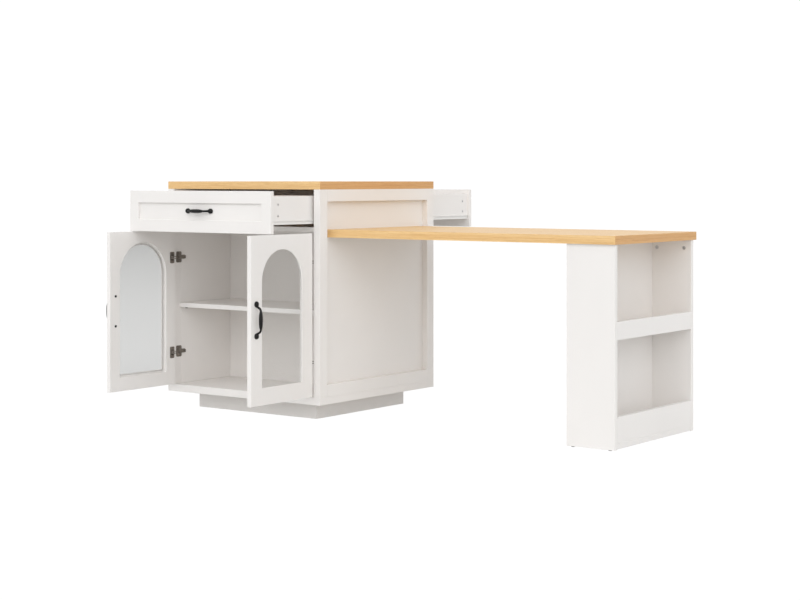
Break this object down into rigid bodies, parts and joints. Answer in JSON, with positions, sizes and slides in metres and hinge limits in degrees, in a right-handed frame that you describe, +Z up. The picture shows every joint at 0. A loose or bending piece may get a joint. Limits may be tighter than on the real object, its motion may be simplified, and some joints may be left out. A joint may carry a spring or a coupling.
{
  "type": "kitchen island unit",
  "caption": "White two-sided kitchen island cabinet with arched glass doors and drawers, and a wooden dining table top that runs out from its side to an open-shelf leg.",
  "frame": {"origin": "on the floor, at the middle of the unit's footprint as it stands with its doors and drawers open", "axes": "+X from the cabinet towards the table's free end, +Y from the door side to the open-shelf side, +Z up"},
  "size_m": [2.0186, 1.4599, 0.914],
  "materials": {
    "white_lacquer": "satin white lacquer on fibreboard",
    "oiled_oak": "clear matt oil on light wood",
    "black_iron": "matt black powder coat",
    "reeded_glass": "vertically fluted",
    "nickel_steel": "nickel plated",
    "white_steel": "white epoxy coat",
    "nylon": "smooth",
    "zinc": "zinc plated",
    "black_plastic": "matt"
  },
  "bodies": {
    "left_door": {"left_door_frame": "white_lacquer", "left_door_glass": "reeded_glass", "left_door_handle": "black_iron", "left_door_screws": "black_iron", "left_glazing_bead": "white_lacquer", "left_hinge_cups": "nickel_steel"},
    "right_door": {"right_door_frame": "white_lacquer", "right_door_glass": "reeded_glass", "right_door_handle": "black_iron", "right_door_screws": "black_iron", "right_glazing_bead": "white_lacquer", "right_hinge_cups": "nickel_steel"},
    "left_links": {"left_hinge_links": "nickel_steel"},
    "right_links": {"right_hinge_links": "nickel_steel"},
    "front_drawer": {"front_drawer_back": "white_lacquer", "front_drawer_bottom": "white_lacquer", "front_drawer_fasteners": "zinc", "front_drawer_front": "white_lacquer", "front_drawer_handle": "black_iron", "front_drawer_rails": "white_steel", "front_drawer_sides": "white_lacquer"},
    "back_drawer": {"back_drawer_back": "white_lacquer", "back_drawer_bottom": "white_lacquer", "back_drawer_fasteners": "zinc", "back_drawer_front": "white_lacquer", "back_drawer_handle": "black_iron", "back_drawer_rails": "white_steel", "back_drawer_sides": "white_lacquer"},
    "front_fixed_rollers": {"front_cabinet_rollers": "nylon"},
    "back_fixed_rollers": {"back_cabinet_rollers": "nylon"},
    "front_moving_rollers": {"front_drawer_rollers": "nylon"},
    "back_moving_rollers": {"back_drawer_rollers": "nylon"},
    "cabinet": {"back_posts": "white_lacquer", "back_shelf": "white_lacquer", "base_panel": "white_lacquer", "cabinet_rails": "white_steel", "drawer_divider": "white_lacquer", "front_posts": "white_lacquer", "front_shelf": "white_lacquer", "hinge_arms": "nickel_steel", "left_side_panel": "white_lacquer", "left_side_rails": "white_lacquer", "leg_base": "white_lacquer", "leg_cams": "zinc", "leg_front_panel": "white_lacquer", "leg_glides": "black_plastic", "leg_inner_panel": "white_lacquer", "leg_lips": "white_lacquer", "leg_rear_panel": "white_lacquer", "leg_shelf": "white_lacquer", "partition": "white_lacquer", "plinth_boards": "white_lacquer", "right_side_panel": "white_lacquer", "right_side_rails": "white_lacquer", "shelf_pins": "nickel_steel", "table_bolts": "nickel_steel", "table_fixing_rails": "white_lacquer", "table_top": "oiled_oak", "upper_partition": "white_lacquer", "worktop": "oiled_oak"}
  },
  "joints": [
    {"name": "left_door_hinge", "type": "hinge", "parent": "cabinet", "child": "left_door", "pos_m": [-0.98225, -0.36375, 0.4082], "axis": [0, 0, 1], "range_deg": [0, 90]},
    {"name": "right_door_hinge", "type": "hinge", "parent": "cabinet", "child": "right_door", "pos_m": [-0.24625, -0.36375, 0.4082], "axis": [0, 0, 1], "range_deg": [-91.4, 0]},
    {"name": "left_link_pivot", "type": "hinge", "parent": "cabinet", "child": "left_links", "pos_m": [-0.96925, -0.33675, 0.4082], "axis": [0, 0, 1], "range_deg": [0, 90]},
    {"name": "right_link_pivot", "type": "hinge", "parent": "cabinet", "child": "right_links", "pos_m": [-0.25925, -0.33675, 0.4082], "axis": [0, 0, 1], "range_deg": [-91.4, 0]},
    {"name": "front_drawer_slide", "type": "slide", "parent": "cabinet", "child": "front_drawer", "axis": [0, -1, 0], "range_m": [-0.247, 0.033]},
    {"name": "back_drawer_slide", "type": "slide", "parent": "cabinet", "child": "back_drawer", "axis": [0, 1, 0], "range_m": [-0.328, 0.004]},
    {"name": "front_fixed_roller_spin", "type": "hinge", "parent": "cabinet", "child": "front_fixed_rollers", "pos_m": [-0.61425, -0.33075, 0.7575], "axis": [1, 0, 0], "continuous": true},
    {"name": "front_moving_roller_spin", "type": "hinge", "parent": "front_drawer", "child": "front_moving_rollers", "pos_m": [-0.61425, -0.28025, 0.7551], "axis": [1, 0, 0], "continuous": true},
    {"name": "back_fixed_roller_spin", "type": "hinge", "parent": "cabinet", "child": "back_fixed_rollers", "pos_m": [-0.61425, 0.35275, 0.7575], "axis": [1, 0, 0], "continuous": true},
    {"name": "back_moving_roller_spin", "type": "hinge", "parent": "back_drawer", "child": "back_moving_rollers", "pos_m": [-0.61425, 0.33175, 0.7551], "axis": [1, 0, 0], "continuous": true}
  ],
  "couplings": [
    {"joint": "left_link_pivot", "follows": "left_door_hinge", "ratio": 1},
    {"joint": "right_link_pivot", "follows": "right_door_hinge", "ratio": 1},
    {"joint": "front_fixed_roller_spin", "follows": "front_drawer_slide", "rad_per_m": 111.11},
    {"joint": "front_moving_roller_spin", "follows": "front_drawer_slide", "rad_per_m": 133.33},
    {"joint": "back_fixed_roller_spin", "follows": "back_drawer_slide", "rad_per_m": -111.11},
    {"joint": "back_moving_roller_spin", "follows": "back_drawer_slide", "rad_per_m": -133.33}
  ]
}
